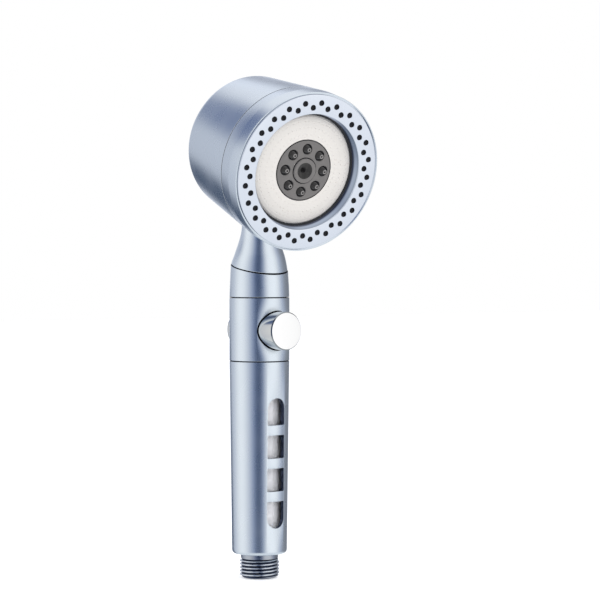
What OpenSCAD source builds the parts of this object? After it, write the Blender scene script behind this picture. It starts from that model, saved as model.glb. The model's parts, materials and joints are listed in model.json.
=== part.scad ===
// Handheld shower head with a filter in its handle, a push-through stop valve and a
// turning spray face.
//
// The handle's axis is +Z and the origin is the centre of the hose thread's end face.
// The head leans forward over -Y. Parts of the head are drawn in the head's own frame:
// its z = 0 is the spray face, +z is the spray direction, and depths behind the face
// are negative.

/* [Hose thread, G 1/2] */
// Outer radius of the thread
thread_r = 10.4775; // [10.4:0.01:10.6]
// Distance from one thread turn to the next
thread_pitch = 1.814; // [1.7:0.002:1.9]
// Number of thread turns
thread_turns = 5; // [4:1:6]
// Radius of the water bore through the connector
inlet_r = 6.6; // [5:0.1:7]

/* [Handle] */
// Height at which the handle sleeve starts
sleeve_z = 12.9; // [12:0.1:14]
// Outer radius of the sleeve at its lower end
sleeve_low_r = 14.65; // [14.4:0.05:15]
// Outer radius of the sleeve at its upper end
sleeve_top_r = 15.95; // [15.8:0.05:16]
// Height of the joint between the handle and the valve
handle_joint_z = 115.6; // [114:0.1:118]
// Width of the filter windows
window_w = 10.9; // [8:0.1:12]
// Height at which the lowest window starts
window_z = 27.3; // [24:0.1:30]
// Height of the two round-ended windows
end_window_h = 14.3; // [12:0.1:16]
// Height of the two square windows
mid_window_h = 12.25; // [10:0.05:13]
// Height of the bars between the windows
window_bar_h = 5.3; // [4:0.1:7]

/* [Filter] */
// Inner radius of the clear tube
tube_in_r = 10.9; // [10.8:0.1:11.2]
// Outer radius of the clear tube
tube_out_r = 12.7; // [12:0.1:12.75]
// Outer radius of the filter cotton
cotton_r = 10.2; // [8:0.1:10.4]
// Outer radius of the core inside the cotton
core_r = 4.5; // [4:0.1:5]

/* [Stop valve] */
// Height of the stop button's axis
button_z = 132; // [130:0.5:134]
// Radius of the two button caps
cap_r = 10.1; // [9:0.1:10.3]
// Distance of the front cap's face from the handle's axis
cap_front_y = 24; // [22:0.5:25]
// Distance that the button travels
button_travel = 8; // [6:0.5:9]
// Outer radius of the valve collar
collar_r = 16; // [15.95:0.05:16.2]
// Turn of the button and the filter windows away from the head's midline, in degrees
valve_turn = 6.5; // [0:0.5:8]
// Height of the joint between the valve collar and the upper collar
collar_joint_z = 149.4; // [148:0.1:151]

/* [Neck] */
// Height of the slanted joint below the neck, on the handle's axis
neck_joint_z = 165.3; // [164:0.1:166]
// Slant of that joint, lower at the front, in degrees
neck_slant = 12.5; // [8:0.5:14]
// Radius of the neck where it meets the head
neck_top_r = 9.3; // [9:0.1:11]

/* [Head] */
// Distance of the spray face's centre in front of the handle's axis
face_forward = 49.26; // [46:0.02:52]
// Height of the spray face's centre
face_z = 213.94; // [210:0.02:216]
// Tilt of the spray below horizontal, in degrees
spray_tilt = 16.9; // [14:0.1:20]
// Outer radius of the mode ring, the widest part of the head
head_r = 41.85; // [41:0.05:43]
// Radius that the head tapers to at its back
head_back_r = 36.4; // [36:0.1:38]
// Depth of the head from spray face to back
head_depth = 66; // [64:0.5:70]
// Rounding of the head's back edge
head_round = 6; // [4:0.5:8]
// Depth of the joint between the mode ring and the housing
mode_joint = 17.5; // [16.5:0.1:18]

/* [Spray face] */
// Outer radius of the face plate
face_r = 40.6; // [40.2:0.1:40.9]
// Inner radius of the thin rim around the face plate
rim_in_r = 41.3; // [41.1:0.1:41.4]
// Inner radius of the face plate at the front
face_in_r = 30.6; // [30.2:0.1:31]
// Depth of the domed spray disc behind the face, at its inner edge
disc_depth = 4.5; // [4.2:0.1:5]
// Depth of the spray disc at its outer edge
disc_edge_depth = 6.8; // [6:0.1:7]
// Radius of the spray disc
disc_r = 28.9; // [28:0.1:29]
// Number of rain nozzles in each of the two rows
rain_count = 24; // [20:1:24]
// Radius of the inner row of rain nozzles
rain_in_r = 33.85; // [33.8:0.05:34]
// Radius of the outer row of rain nozzles
rain_out_r = 36.4; // [36.2:0.05:36.5]
// Radius of the holes around the rain nozzles
rain_hole_r = 1.45; // [1.4:0.05:1.5]
// Angle of the first inner-row nozzle, in degrees
rain_start = 4.8; // [0:0.1:15]
// Radius of the centre plate
centre_r = 15.9; // [15:0.05:16]
// Depth of the middle of the domed centre plate
centre_depth = 3.7; // [3.5:0.1:4.2]
// Number of centre nozzles
centre_count = 8; // [6:1:8]
// Radius of the circle of centre nozzles
centre_ring_r = 11.3; // [10.5:0.1:11.5]
// Depth of the tips of the centre nozzles
tip_depth = 1.8; // [1:0.1:3]
// Radius of the puck in the middle
puck_r = 6.4; // [5.5:0.1:6.5]
// Depth of the puck's rim
puck_depth = 2.9; // [2:0.1:3.4]
// Angle between two spray modes, in degrees
mode_step = 45; // [40:1:50]

/* [Hidden] */
$fn = 96;
eps = 0.05;
run_gap = 0.05;
seam = 0.15;

// Handle heights
connector_flange_z = sleeve_z + 2;
connector_top_z = connector_flange_z + 2.5;
washer_h = 1.5;
tube_low_z = connector_top_z + washer_h;
tube_top_z = 102;
spigot_z = tube_top_z + 1.5;
spigot_r = 13.3;
window_top_z = window_z + 2 * end_window_h + 2 * mid_window_h + 3 * window_bar_h;

// Filter cartridge heights
filter_z = 22;
filter_cap_h = 3;
cotton_z = filter_z + filter_cap_h;
cotton_top_z = 96;
cotton_h = cotton_top_z - cotton_z;
filter_cap_r = 10.2;
filter_spigot_r = 5.6;
filter_seal_z = 105.2;
oring_h = 1.6;

// Stop valve, measured along the button's axis
cap_face_h = 2;
cap_wall = 1.1;
cap_skirt_y = 11.8;
cap_rear_y = cap_front_y - button_travel;
boss_y = cap_rear_y - cap_face_h - 0.1;
boss_r = cap_r - cap_wall - 0.3;
pocket_r = cap_r + 0.6;
pocket_y = cap_skirt_y - button_travel - 0.2;
spool_bore_r = 6;
spool_r = 5.9;
port_w = 9;
port_h = 4;
valve_r = 14.3;
valve_top_z = 158;
valve_spigot_r = 9;
valve_spigot_z = 172;
neck_seal_z = 168.4;

// Neck curve: a cosine blend from the collar's radius to the neck's
neck_curve_z = 161.5;
neck_curve_h = 27;
neck_start_r = 15.3;
neck_steps = 18;
function neck_r(z) = neck_top_r + (neck_start_r - neck_top_r)
    * (1 + cos(180 * min(1, max(0, (z - neck_curve_z) / neck_curve_h)))) / 2;

// Head shell: straight for the first few millimetres, then an even taper
taper_start = 8;
taper = (head_r - head_back_r) / (head_depth - taper_start);
function shell_r(depth) = head_r - taper * max(0, depth - taper_start);
rim_front = 0.15;
run_r = 37.4;
seat_r = 36.5;
seat_depth = 26;
ledge_depth = 33;
cavity_back = 63.5;
skirt_in_r = 36;
skirt_depth = 25.4;
web_depth = 15.5;
ring_in_r = 38.4;

// Water path behind the face
distributor_front = 30;
spindle_r = 4.5;
spindle_end = 12;
port_ring_r = 21.5;
port_r = 3.3;
seal_bore_r = 4.6;
seal_front = 27.45;
selector_back = 27.4;
selector_front = 25.05;
screw_ring_r = 28;
screw_angles = [20, 160, 230, 310];
detent_ring_r = 26;
detent_r = 2;
detent_rest = 29.45;
chamber_floor = 23;
centre_wall_in_r = 15.2;
centre_wall_r = 16.8;
disc_wall_in_r = 26.8;
rain_wall_r = 32.6;
hub_r = 6.5;
mat_front = 2;
mat_back = 3.6;
plate_back = 7.6;
lip_r = 29.9;
lip_wall = 1.1;
lip_depth = 5.8;
gasket_r = 30.4;
gasket_back = 7.2;

steel_blue = [0.60, 0.67, 0.78];
pale_blue = [0.84, 0.88, 0.94];
bright = [0.88, 0.89, 0.91];
clear = [0.85, 0.90, 0.95, 0.35];
cream = [0.94, 0.92, 0.88];
dark_grey = [0.45, 0.44, 0.43];
rubber_black = [0.12, 0.12, 0.12];
inner_grey = [0.55, 0.56, 0.58];
white_plastic = [0.92, 0.92, 0.90];

module at_head() {
    translate([0, -face_forward, face_z]) rotate([90 + spray_tilt, 0, 0]) children();
}

// A cylinder between two heights
module rod(r, z1, z2) {
    translate([0, 0, min(z1, z2)]) cylinder(r = r, h = abs(z2 - z1));
}

// A ring between two heights
module ring(r_out, r_in, z1, z2) {
    difference() {
        rod(r_out, z1, z2);
        rod(r_in, min(z1, z2) - 1, max(z1, z2) + 1);
    }
}

// An O-ring of square section with broken edges, standing on z
module seal_ring(r_out, r_in, z, h) {
    c = 0.3;
    rotate_extrude() polygon([
        [r_in, z + c], [r_in + c, z], [r_out - c, z], [r_out, z + c],
        [r_out, z + h - c], [r_out - c, z + h], [r_in + c, z + h], [r_in, z + h - c]
    ]);
}

// Turns a shape drawn facing -Y to the side that the button and the windows face
module at_valve_turn() {
    rotate([0, 0, valve_turn]) children();
}

// Lays a shape drawn along +Z onto the button's axis, +Z pointing to the rear
module along_button() {
    at_valve_turn() translate([0, 0, button_z]) rotate([-90, 0, 0]) children();
}

// A wire wound around +Z from z1 to z2
module coil(r, wire_r, z1, z2, turns) {
    sides = 8;
    steps = turns * 16;
    rings = [for (i = [0 : steps]) let (a = 360 * turns * i / steps, z = z1 + (z2 - z1) * i / steps)
        [for (k = [0 : sides - 1]) let (b = 360 * k / sides)
            [(r + wire_r * cos(b)) * cos(a), (r + wire_r * cos(b)) * sin(a), z + wire_r * sin(b)]]];
    polyhedron(
        points = [for (ring = rings) for (p = ring) p],
        faces = concat(
            [[for (k = [0 : sides - 1]) k]],
            [for (i = [0 : steps - 1]) for (k = [0 : sides - 1])
                [i * sides + k, (i + 1) * sides + k,
                 (i + 1) * sides + (k + 1) % sides, i * sides + (k + 1) % sides]],
            [[for (k = [sides - 1 : -1 : 0]) steps * sides + k]]));
}

// ---------------------------------------------------------------- handle

module hose_connector() {
    crest = 0.25;
    flank = 0.45;
    root_r = thread_r - 1.16;
    first_z = 1.4;
    neck_z = first_z + thread_pitch * thread_turns - 0.3;
    color(bright) difference() {
        rotate_extrude() polygon(concat(
            [[0, 0], [root_r - 0.2, 0], [root_r, 0.4]],
            [for (i = [0 : thread_turns - 1]) let (z = first_z + thread_pitch * i)
                for (p = [[root_r, z - flank - crest], [thread_r, z - crest],
                          [thread_r, z + crest], [root_r, z + flank + crest]]) p],
            [[root_r, neck_z], [9.9, neck_z + 0.4], [9.9, connector_flange_z],
             [12.6, connector_flange_z], [12.6, connector_top_z], [0, connector_top_z]]));
        rod(inlet_r, -1, connector_top_z + 1);
    }
}

// One filter window, cut from the front: its lower and upper ends can be round
module window(z1, z2, round_low, round_high) {
    r = window_w / 2;
    front = sleeve_top_r + 2;
    flat_z1 = round_low ? z1 + r : z1;
    flat_z2 = round_high ? z2 - r : z2;
    translate([-r, -front, flat_z1]) cube([window_w, front, flat_z2 - flat_z1]);
    if (round_low) translate([0, 0, z1 + r]) rotate([90, 0, 0]) cylinder(r = r, h = front);
    if (round_high) translate([0, 0, z2 - r]) rotate([90, 0, 0]) cylinder(r = r, h = front);
}

module handle_sleeve() {
    edge = 3;
    top_z = handle_joint_z - seam;
    second_z = window_z + end_window_h + window_bar_h;
    third_z = second_z + mid_window_h + window_bar_h;
    fourth_z = third_z + mid_window_h + window_bar_h;
    color(steel_blue) difference() {
        rotate_extrude() polygon(concat(
            [[0, sleeve_z]],
            [for (a = [0 : 15 : 90])
                [sleeve_low_r - edge + edge * sin(a), sleeve_z + edge - edge * cos(a)]],
            [[sleeve_top_r, top_z - 0.3], [sleeve_top_r - 0.3, top_z], [0, top_z]]));
        rod(10, sleeve_z - 1, connector_flange_z + 1);
        rod(tube_out_r + 0.1, connector_flange_z, spigot_z);
        rod(spigot_r + run_gap, spigot_z - eps, handle_joint_z + 1);
        at_valve_turn() {
            window(window_z, window_z + end_window_h, true, false);
            window(second_z, second_z + mid_window_h, false, false);
            window(third_z, third_z + mid_window_h, false, false);
            window(fourth_z, window_top_z, false, true);
        }
    }
}

module filter_tube() {
    color(clear) ring(tube_out_r, tube_in_r, tube_low_z, tube_top_z);
}

module connector_washer() {
    color(rubber_black) seal_ring(12.6, tube_in_r, connector_top_z, washer_h);
}

module tube_seal() {
    color(rubber_black) seal_ring(tube_out_r, tube_in_r, tube_top_z, spigot_z - tube_top_z);
}

// ---------------------------------------------------------------- filter cartridge

module filter_bottom_cap() {
    color(white_plastic) union() {
        rod(filter_cap_r, filter_z, cotton_z);
        rod(core_r - 1.2, cotton_z - eps, cotton_z + 3);
    }
}

module filter_cotton() {
    color(white_plastic) ring(cotton_r, core_r + 0.05, cotton_z, cotton_top_z);
}

module filter_core() {
    levels = 8;
    color(inner_grey) difference() {
        ring(core_r, core_r - 1.1, cotton_z, cotton_top_z);
        for (i = [1 : levels], a = [0, 90])
            translate([0, 0, cotton_z + cotton_h * i / (levels + 1)])
                rotate([0, 90, a + 45 * (i % 2)]) cylinder(r = 1, h = 12, center = true);
    }
}

module filter_top_cap() {
    color(white_plastic) difference() {
        union() {
            rod(filter_cap_r, cotton_top_z, cotton_top_z + filter_cap_h);
            rod(filter_spigot_r, cotton_top_z + eps, 109);
        }
        rod(core_r - 1.1, cotton_top_z - 1, 110);
        ring(filter_spigot_r + 1, filter_spigot_r - 1.1, filter_seal_z, filter_seal_z + oring_h);
    }
}

module filter_seal() {
    color(rubber_black)
        seal_ring(filter_spigot_r + 0.05, filter_spigot_r - 1.1, filter_seal_z, oring_h);
}

// ---------------------------------------------------------------- stop valve

module valve_body() {
    color(inner_grey) difference() {
        union() {
            rod(spigot_r, spigot_z, handle_joint_z + 1);
            rod(valve_r, handle_joint_z + seam, valve_top_z);
            rod(valve_spigot_r, valve_top_z - 1, valve_spigot_z);
        }
        rod(filter_spigot_r + 0.1, spigot_z - 1, 112);
        at_valve_turn() translate([-port_w / 2, -port_h / 2, 111]) cube([port_w, port_h, 40]);
        rod(5.5, 150, valve_spigot_z + 1);
        along_button() rod(spool_bore_r, -20, 20);
        for (side = [-1, 1]) along_button() {
            ring(pocket_r, boss_r, side * pocket_y, side * 20);
            rod(pocket_r, side * boss_y, side * 20);
        }
        ring(valve_spigot_r + 1, valve_spigot_r - 1.1, neck_seal_z, neck_seal_z + oring_h);
    }
}

module valve_collar() {
    low_z = handle_joint_z + seam;
    top_z = collar_joint_z - seam;
    bevel = 0.3;
    color(steel_blue) difference() {
        rotate_extrude() polygon([
            [valve_r + 0.05, low_z], [collar_r - bevel, low_z], [collar_r, low_z + bevel],
            [collar_r, top_z - bevel], [collar_r - bevel, top_z], [valve_r + 0.05, top_z]
        ]);
        along_button() rod(cap_r + 0.5, -20, 20);
    }
}

// The half-space above the slanted joint
module above_neck_joint() {
    translate([0, 0, neck_joint_z]) rotate([neck_slant, 0, 0])
        translate([-60, -60, 0]) cube([120, 120, 60]);
}

module upper_collar() {
    low_z = collar_joint_z + seam;
    bevel = 0.3;
    color(steel_blue) difference() {
        rotate_extrude() polygon([
            [valve_r + 0.05, low_z], [collar_r - bevel - 0.05, low_z],
            [collar_r - 0.05, low_z + bevel], [neck_start_r + 0.1, neck_joint_z - 4],
            [neck_r(neck_joint_z + 4), neck_joint_z + 4], [9.5, neck_joint_z + 4],
            [9.5, valve_top_z + 0.1], [valve_r + 0.05, valve_top_z + 0.1]
        ]);
        translate([0, 0, -seam]) above_neck_joint();
    }
}

module neck_seal() {
    color(rubber_black)
        seal_ring(valve_spigot_r + 0.02, valve_spigot_r - 1.1, neck_seal_z, oring_h);
}

module stop_spool() {
    seal_y = (button_travel) / 2;
    waist = 2.2;
    color(bright) along_button() difference() {
        union() {
            rod(spool_r, -cap_front_y + cap_face_h, cap_rear_y - cap_face_h);
            rod(3, -cap_front_y + 1, cap_rear_y - 1);
        }
        ring(spool_r + 1, 3.4, -waist, waist);
        for (y = [-3 * seal_y, -seal_y, seal_y])
            ring(spool_r + 1, spool_r - 1.4, y - oring_h / 2, y + oring_h / 2);
    }
}

module spool_seals() {
    seal_y = button_travel / 2;
    color(rubber_black) along_button()
        for (y = [-3 * seal_y, -seal_y, seal_y])
            seal_ring(spool_bore_r - 0.02, spool_r - 1.4, y - oring_h / 2, oring_h);
}

// A button cap whose face is at z = 0 and whose skirt runs towards +z
module button_cap(skirt_h) {
    bevel = 0.5;
    difference() {
        rotate_extrude() polygon([
            [0, 0], [cap_r - bevel, 0], [cap_r, bevel], [cap_r, skirt_h],
            [cap_r - cap_wall, skirt_h], [cap_r - cap_wall, cap_face_h], [0, cap_face_h]
        ]);
        rod(3, 1, cap_face_h + 1);
    }
}

module front_cap() {
    color(bright) along_button()
        translate([0, 0, -cap_front_y]) button_cap(cap_front_y - cap_skirt_y);
}

module rear_cap() {
    skirt_h = cap_rear_y - (cap_skirt_y - button_travel);
    color(bright) along_button()
        translate([0, 0, cap_rear_y]) mirror([0, 0, 1]) button_cap(skirt_h);
}

// ---------------------------------------------------------------- head housing

module head_housing() {
    round_z = -head_depth + head_round;
    round_c = shell_r(head_depth - head_round) - head_round;
    color(steel_blue) difference() {
        union() {
            difference() {
                union() {
                    at_head() rotate_extrude() polygon(concat(
                        [[0, -mode_joint - seam], [shell_r(mode_joint), -mode_joint - seam]],
                        [for (a = [0 : 10 : 90])
                            [round_c + head_round * cos(a), round_z - head_round * sin(a)]],
                        [[0, -head_depth]]));
                    difference() {
                        rotate_extrude() polygon(concat(
                            [[0, neck_joint_z - 6]],
                            [for (i = [0 : neck_steps]) let (z = neck_joint_z - 6
                                    + (neck_curve_z + neck_curve_h - neck_joint_z + 6) * i / neck_steps)
                                [neck_r(z), z]],
                            [[neck_top_r, 200], [0, 200]]));
                        translate([0, 0, seam]) mirror([0, 0, 1])
                            translate([0, 0, -2 * neck_joint_z]) rotate([0, 0, 180])
                                above_neck_joint();
                    }
                }
                at_head() rotate_extrude() polygon([
                    [0, -mode_joint + 2], [run_r, -mode_joint + 2], [run_r, -seat_depth],
                    [seat_r, -seat_depth], [seat_r, -ledge_depth], [35.2, -ledge_depth],
                    [33.8, -cavity_back + 3], [30.8, -cavity_back], [0, -cavity_back]
                ]);
            }
            at_head() for (a = screw_angles) rotate([0, 0, a])
                translate([screw_ring_r, 0, 0]) rod(4, -ledge_depth, -cavity_back - 1);
        }
        rod(valve_spigot_r + 0.05, neck_joint_z - 10, valve_spigot_z + 0.5);
        rod(6.5, valve_spigot_z, 192);
        at_head() for (a = screw_angles) rotate([0, 0, a])
            translate([screw_ring_r, 0, 0]) rod(1.25, -ledge_depth + 1, -ledge_depth - 12);
    }
}

module distributor() {
    color(inner_grey) at_head() difference() {
        union() {
            rod(seat_r - 0.1, -ledge_depth, -distributor_front);
            rod(spindle_r, -distributor_front - 1, -spindle_end);
            translate([0, port_ring_r, 0]) rod(6, -distributor_front - 1, -selector_back - 0.2);
            translate([0, -detent_ring_r, 0]) rod(3.4, -distributor_front - 1, -28);
        }
        ring(seat_r + 1, seat_r - 1.5, -32.2, -30.8);
        rod(1.6, -26, -spindle_end + 1);
        translate([0, port_ring_r, 0]) {
            rod(seal_bore_r, -32.5, -20);
            rod(port_r, -34, -20);
        }
        translate([0, -detent_ring_r, 0]) rod(detent_r + 0.05, -32.4, -20);
        for (a = screw_angles) rotate([0, 0, a]) translate([screw_ring_r, 0, 0]) rod(1.6, -34, -29);
    }
}

module distributor_seal() {
    color(rubber_black) at_head() seal_ring(seat_r - 0.02, seat_r - 1.5, -32.2, 1.4);
}

module distributor_screws() {
    color(bright) at_head() for (a = screw_angles) rotate([0, 0, a])
        translate([screw_ring_r, 0, 0]) difference() {
            union() {
                rod(2.6, -distributor_front, -distributor_front + 1.6);
                rod(1.25, -distributor_front + eps, -ledge_depth - 11);
            }
            for (turn = [0, 90]) rotate([0, 0, turn])
                translate([-1.5, -0.3, -distributor_front + 0.6]) cube([3, 0.6, 2]);
        }
}

module port_seal() {
    color(rubber_black) at_head() translate([0, port_ring_r, 0])
        seal_ring(seal_bore_r - 0.05, 3, -30, 30 - seal_front);
}

module port_spring() {
    color(bright) at_head() translate([0, port_ring_r, 0]) coil(3.85, 0.3, -32.15, -30.35, 2);
}

module detent_spring() {
    color(bright) at_head() translate([0, -detent_ring_r, 0]) coil(1.5, 0.25, -32.1, -31.4, 1.5);
}

module detent_ball() {
    color(bright) at_head() translate([0, -detent_ring_r, -detent_rest]) sphere(r = detent_r);
}

module spindle_washer() {
    color(bright) at_head() ring(7, 1.9, -spindle_end, -spindle_end + 1);
}

module spindle_screw() {
    color(bright) at_head() difference() {
        union() {
            rod(3.3, -spindle_end + 1, -spindle_end + 3.2);
            rod(1.55, -spindle_end + 1 + eps, -24);
        }
        for (turn = [0, 90]) rotate([0, 0, turn])
            translate([-2, -0.4, -spindle_end + 1.8]) cube([4, 0.8, 2]);
    }
}

// ---------------------------------------------------------------- turning spray face

module mode_ring() {
    back = mode_joint - seam;
    bevel = 0.15;
    color(steel_blue) at_head() rotate_extrude() polygon([
        [ring_in_r, -mat_front], [rim_in_r, -mat_front], [rim_in_r, -rim_front],
        [head_r - bevel, -rim_front], [head_r, -rim_front - bevel], [head_r, -taper_start],
        [shell_r(back), -back], [run_r - run_gap, -back], [run_r - run_gap, -skirt_depth],
        [skirt_in_r, -skirt_depth], [skirt_in_r, -web_depth], [ring_in_r, -web_depth]
    ]);
}

// Repeats a shape at every rain nozzle's place
module each_rain_nozzle() {
    for (i = [0 : rain_count - 1]) {
        rotate([0, 0, rain_start + 360 * i / rain_count])
            translate([rain_in_r, 0, 0]) children();
        rotate([0, 0, rain_start + 360 * (i + 0.5) / rain_count])
            translate([rain_out_r, 0, 0]) children();
    }
}

module each_centre_nozzle() {
    for (i = [0 : centre_count - 1])
        rotate([0, 0, 360 * i / centre_count]) translate([centre_ring_r, 0, 0]) children();
}

module face_plate() {
    color(pale_blue) at_head() difference() {
        rotate_extrude() polygon([
            [face_in_r, 0], [face_r - 0.3, 0], [face_r, -0.3], [face_r, -mat_front],
            [face_in_r + 1.2, -mat_front], [lip_r + lip_wall, -mat_back],
            [lip_r + lip_wall, -lip_depth], [lip_r, -lip_depth]
        ]);
        each_rain_nozzle() rod(rain_hole_r, -3, 1);
    }
}

module rain_nozzles() {
    color(rubber_black) at_head() union() {
        ring(ring_in_r - 0.1, face_in_r + 1.25, -mat_back, -mat_front);
        each_rain_nozzle() rod(rain_hole_r - 0.25, -mat_front - 0.5, -0.7);
    }
}

module disc_gasket() {
    color(rubber_black) at_head()
        ring(gasket_r - eps, disc_r + eps, -gasket_back, -lip_depth - eps);
}

module spray_disc() {
    hole_r = centre_r + 0.25;
    color(cream) at_head() rotate_extrude() polygon([
        [hole_r, -plate_back], [disc_r, -plate_back], [disc_r, -disc_edge_depth],
        [disc_r - 0.3, -disc_edge_depth + 0.7], [disc_r - 1, -disc_edge_depth + 1.3],
        [disc_r - 2.4, -disc_edge_depth + 1.65], [disc_r - 6.9, -disc_depth - 0.3],
        [hole_r, -disc_depth]
    ]);
}

module centre_plate() {
    color(dark_grey) at_head() difference() {
        rotate_extrude() polygon([
            [4, -plate_back], [centre_r, -plate_back], [centre_r, -centre_depth - 0.8],
            [centre_r - 1.9, -centre_depth - 0.4], [centre_ring_r, -centre_depth - 0.1],
            [puck_r, -centre_depth], [4, -centre_depth]
        ]);
        each_centre_nozzle() rod(2.85, -10, 0);
    }
}

module centre_nozzles() {
    base_depth = centre_depth + 0.6;
    color(rubber_black) at_head() difference() {
        union() {
            ring(centre_r - eps, 4.5, -plate_back - 1.4, -plate_back);
            each_centre_nozzle() rotate_extrude() polygon([
                [0, -plate_back - 0.5], [2.7, -plate_back - 0.5], [2.7, -base_depth],
                [1.05, -tip_depth - 0.2], [0.85, -tip_depth], [0, -tip_depth]
            ]);
        }
        each_centre_nozzle() rod(0.45, -plate_back - 2, 0);
    }
}

module centre_puck() {
    stem_r = 3.95;
    color(dark_grey) at_head() rotate_extrude() polygon([
        [1.4, -plate_back], [stem_r, -plate_back], [stem_r, -centre_depth],
        [puck_r, -centre_depth], [puck_r, -puck_depth - 0.3], [puck_r - 0.3, -puck_depth],
        [puck_r - 1, -puck_depth], [4.4, -puck_depth - 0.2], [3.4, -puck_depth - 0.9],
        [2.2, -puck_depth - 1.8], [1.4, -puck_depth - 2.2]
    ]);
}

module chamber_body() {
    wall_r = ring_in_r - 0.1;
    lip_out_r = lip_r + lip_wall + eps;
    color(inner_grey) at_head() difference() {
        union() {
            ring(skirt_in_r - 0.1, hub_r - 0.5, -selector_front + eps, -chamber_floor);
            ring(skirt_in_r - 0.1, 35, -chamber_floor - eps, -web_depth + 0.2);
            ring(wall_r, 35, -web_depth + 0.1, -web_depth + 2);
            ring(wall_r, 37.6, -web_depth + 2 - eps, -mat_back);
            ring(hub_r, spindle_r + run_gap, -selector_front + eps, -spindle_end - 0.1);
            rotate_extrude() polygon([
                [centre_wall_in_r, -chamber_floor - eps], [centre_wall_r, -chamber_floor - eps],
                [centre_wall_r, -plate_back], [centre_r + 0.05, -plate_back],
                [centre_r + 0.05, -plate_back - 1.4], [centre_wall_in_r, -plate_back - 1.4]
            ]);
            rotate_extrude() polygon([
                [disc_wall_in_r, -chamber_floor - eps], [rain_wall_r, -chamber_floor - eps],
                [rain_wall_r, -mat_back], [lip_out_r, -mat_back], [lip_out_r, -lip_depth - eps],
                [gasket_r, -lip_depth - eps], [gasket_r, -gasket_back],
                [disc_r + eps, -gasket_back], [disc_r + eps, -plate_back],
                [disc_wall_in_r, -plate_back]
            ]);
        }
        rotate([0, 0, 90]) translate([port_ring_r, 0, 0]) rod(port_r, -26, -20);
        for (a = [-24 : 12 : 24]) rotate([0, 0, 90 + mode_step + a])
            translate([33.8, 0, 0]) rod(1.1, -26, -20);
        for (a = [-25, 0, 25]) rotate([0, 0, 90 - mode_step + a])
            translate([11, 0, 0]) rod(1.5, -26, -20);
    }
}

module selector_plate() {
    color(inner_grey) at_head() difference() {
        ring(34.8, spindle_r + run_gap, -selector_back, -selector_front);
        for (a = [-mode_step, 0, mode_step]) rotate([0, 0, 90 + a]) {
            translate([port_ring_r, 0, 0]) rod(port_r, -28, -24);
            rotate([0, 0, 180]) translate([detent_ring_r, 0, -28.9]) sphere(r = detent_r + 0.1);
        }
        rotate([0, 0, 90 + mode_step])
            translate([port_ring_r, -2.5, -selector_front - 1.2]) cube([12.8, 5, 3]);
        rotate([0, 0, 90 + mode_step]) intersection() {
            ring(34.7, 32.7, -selector_front - 1.2, -24);
            translate([20, -17, -30]) cube([20, 34, 10]);
        }
        rotate([0, 0, 90 - mode_step])
            translate([9.4, -2.5, -selector_front - 1.2]) cube([12, 5, 3]);
        rotate([0, 0, 90 - mode_step]) intersection() {
            ring(12.6, 9.4, -selector_front - 1.2, -24);
            translate([0, -6.4, -30]) cube([20, 12.8, 10]);
        }
    }
}

module turbine() {
    vanes = 8;
    tip_r = 14.4;
    color(white_plastic) at_head() union() {
        ring(8, hub_r + run_gap, -21.5, -13.2);
        difference() {
            ring(tip_r, 7.5, -14.4, -13.2);
            translate([-20, -40, -30]) cube([40, 40, 30]);
        }
        for (i = [0 : vanes - 1]) rotate([0, 0, 360 * i / vanes + 5])
            translate([7.6, -0.6, -21.5]) cube([tip_r - 8.2, 1.2, 7.2]);
    }
}

hose_connector();
handle_sleeve();
filter_tube();
connector_washer();
tube_seal();
filter_bottom_cap();
filter_cotton();
filter_core();
filter_top_cap();
filter_seal();
valve_body();
valve_collar();
upper_collar();
neck_seal();
head_housing();
distributor();
distributor_seal();
distributor_screws();
port_seal();
port_spring();
detent_spring();
detent_ball();
spindle_washer();
spindle_screw();
stop_spool();
front_cap();
rear_cap();
spool_seals();
mode_ring();
face_plate();
rain_nozzles();
disc_gasket();
spray_disc();
centre_plate();
centre_nozzles();
centre_puck();
chamber_body();
selector_plate();
turbine();
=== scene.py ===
"""The looks of the handheld shower head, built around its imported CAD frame.

Shapes are drawn in millimetres. Handle pieces are drawn upright in the row frame, and head
pieces in the head's own frame, whose origin is the spray face's centre and whose +z is the
spray direction, so depths behind the face are negative there.
"""
import json
import math
import bpy
from mathutils import Matrix, Vector

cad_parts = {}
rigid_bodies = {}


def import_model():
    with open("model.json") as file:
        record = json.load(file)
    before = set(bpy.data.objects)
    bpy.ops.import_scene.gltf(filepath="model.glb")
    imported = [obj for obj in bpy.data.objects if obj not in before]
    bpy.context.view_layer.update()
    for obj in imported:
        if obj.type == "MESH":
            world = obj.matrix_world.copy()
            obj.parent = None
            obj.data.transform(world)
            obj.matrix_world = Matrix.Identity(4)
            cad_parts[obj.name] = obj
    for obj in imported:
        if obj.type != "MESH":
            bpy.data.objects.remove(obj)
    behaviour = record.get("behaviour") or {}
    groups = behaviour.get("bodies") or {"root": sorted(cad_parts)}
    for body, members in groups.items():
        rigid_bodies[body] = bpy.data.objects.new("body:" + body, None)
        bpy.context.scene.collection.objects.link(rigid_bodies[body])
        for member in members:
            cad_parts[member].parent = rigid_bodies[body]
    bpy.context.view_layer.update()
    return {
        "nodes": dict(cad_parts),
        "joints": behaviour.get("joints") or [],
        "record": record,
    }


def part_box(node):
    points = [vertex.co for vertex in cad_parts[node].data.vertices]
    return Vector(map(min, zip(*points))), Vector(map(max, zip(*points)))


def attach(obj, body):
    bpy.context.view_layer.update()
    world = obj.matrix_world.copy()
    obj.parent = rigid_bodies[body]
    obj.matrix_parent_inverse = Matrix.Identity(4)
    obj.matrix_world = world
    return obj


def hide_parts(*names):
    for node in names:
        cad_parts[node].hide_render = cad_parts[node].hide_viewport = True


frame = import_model()

# ---------------------------------------------------------------- places from the frame

MM = 0.001
JOINTS = {joint["name"]: joint for joint in frame["joints"]}
FACE_CENTRE = Vector(JOINTS["mode_turn"]["pos_m"])
SPRAY_AXIS = Vector(JOINTS["mode_turn"]["axis"]).normalized()


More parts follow.
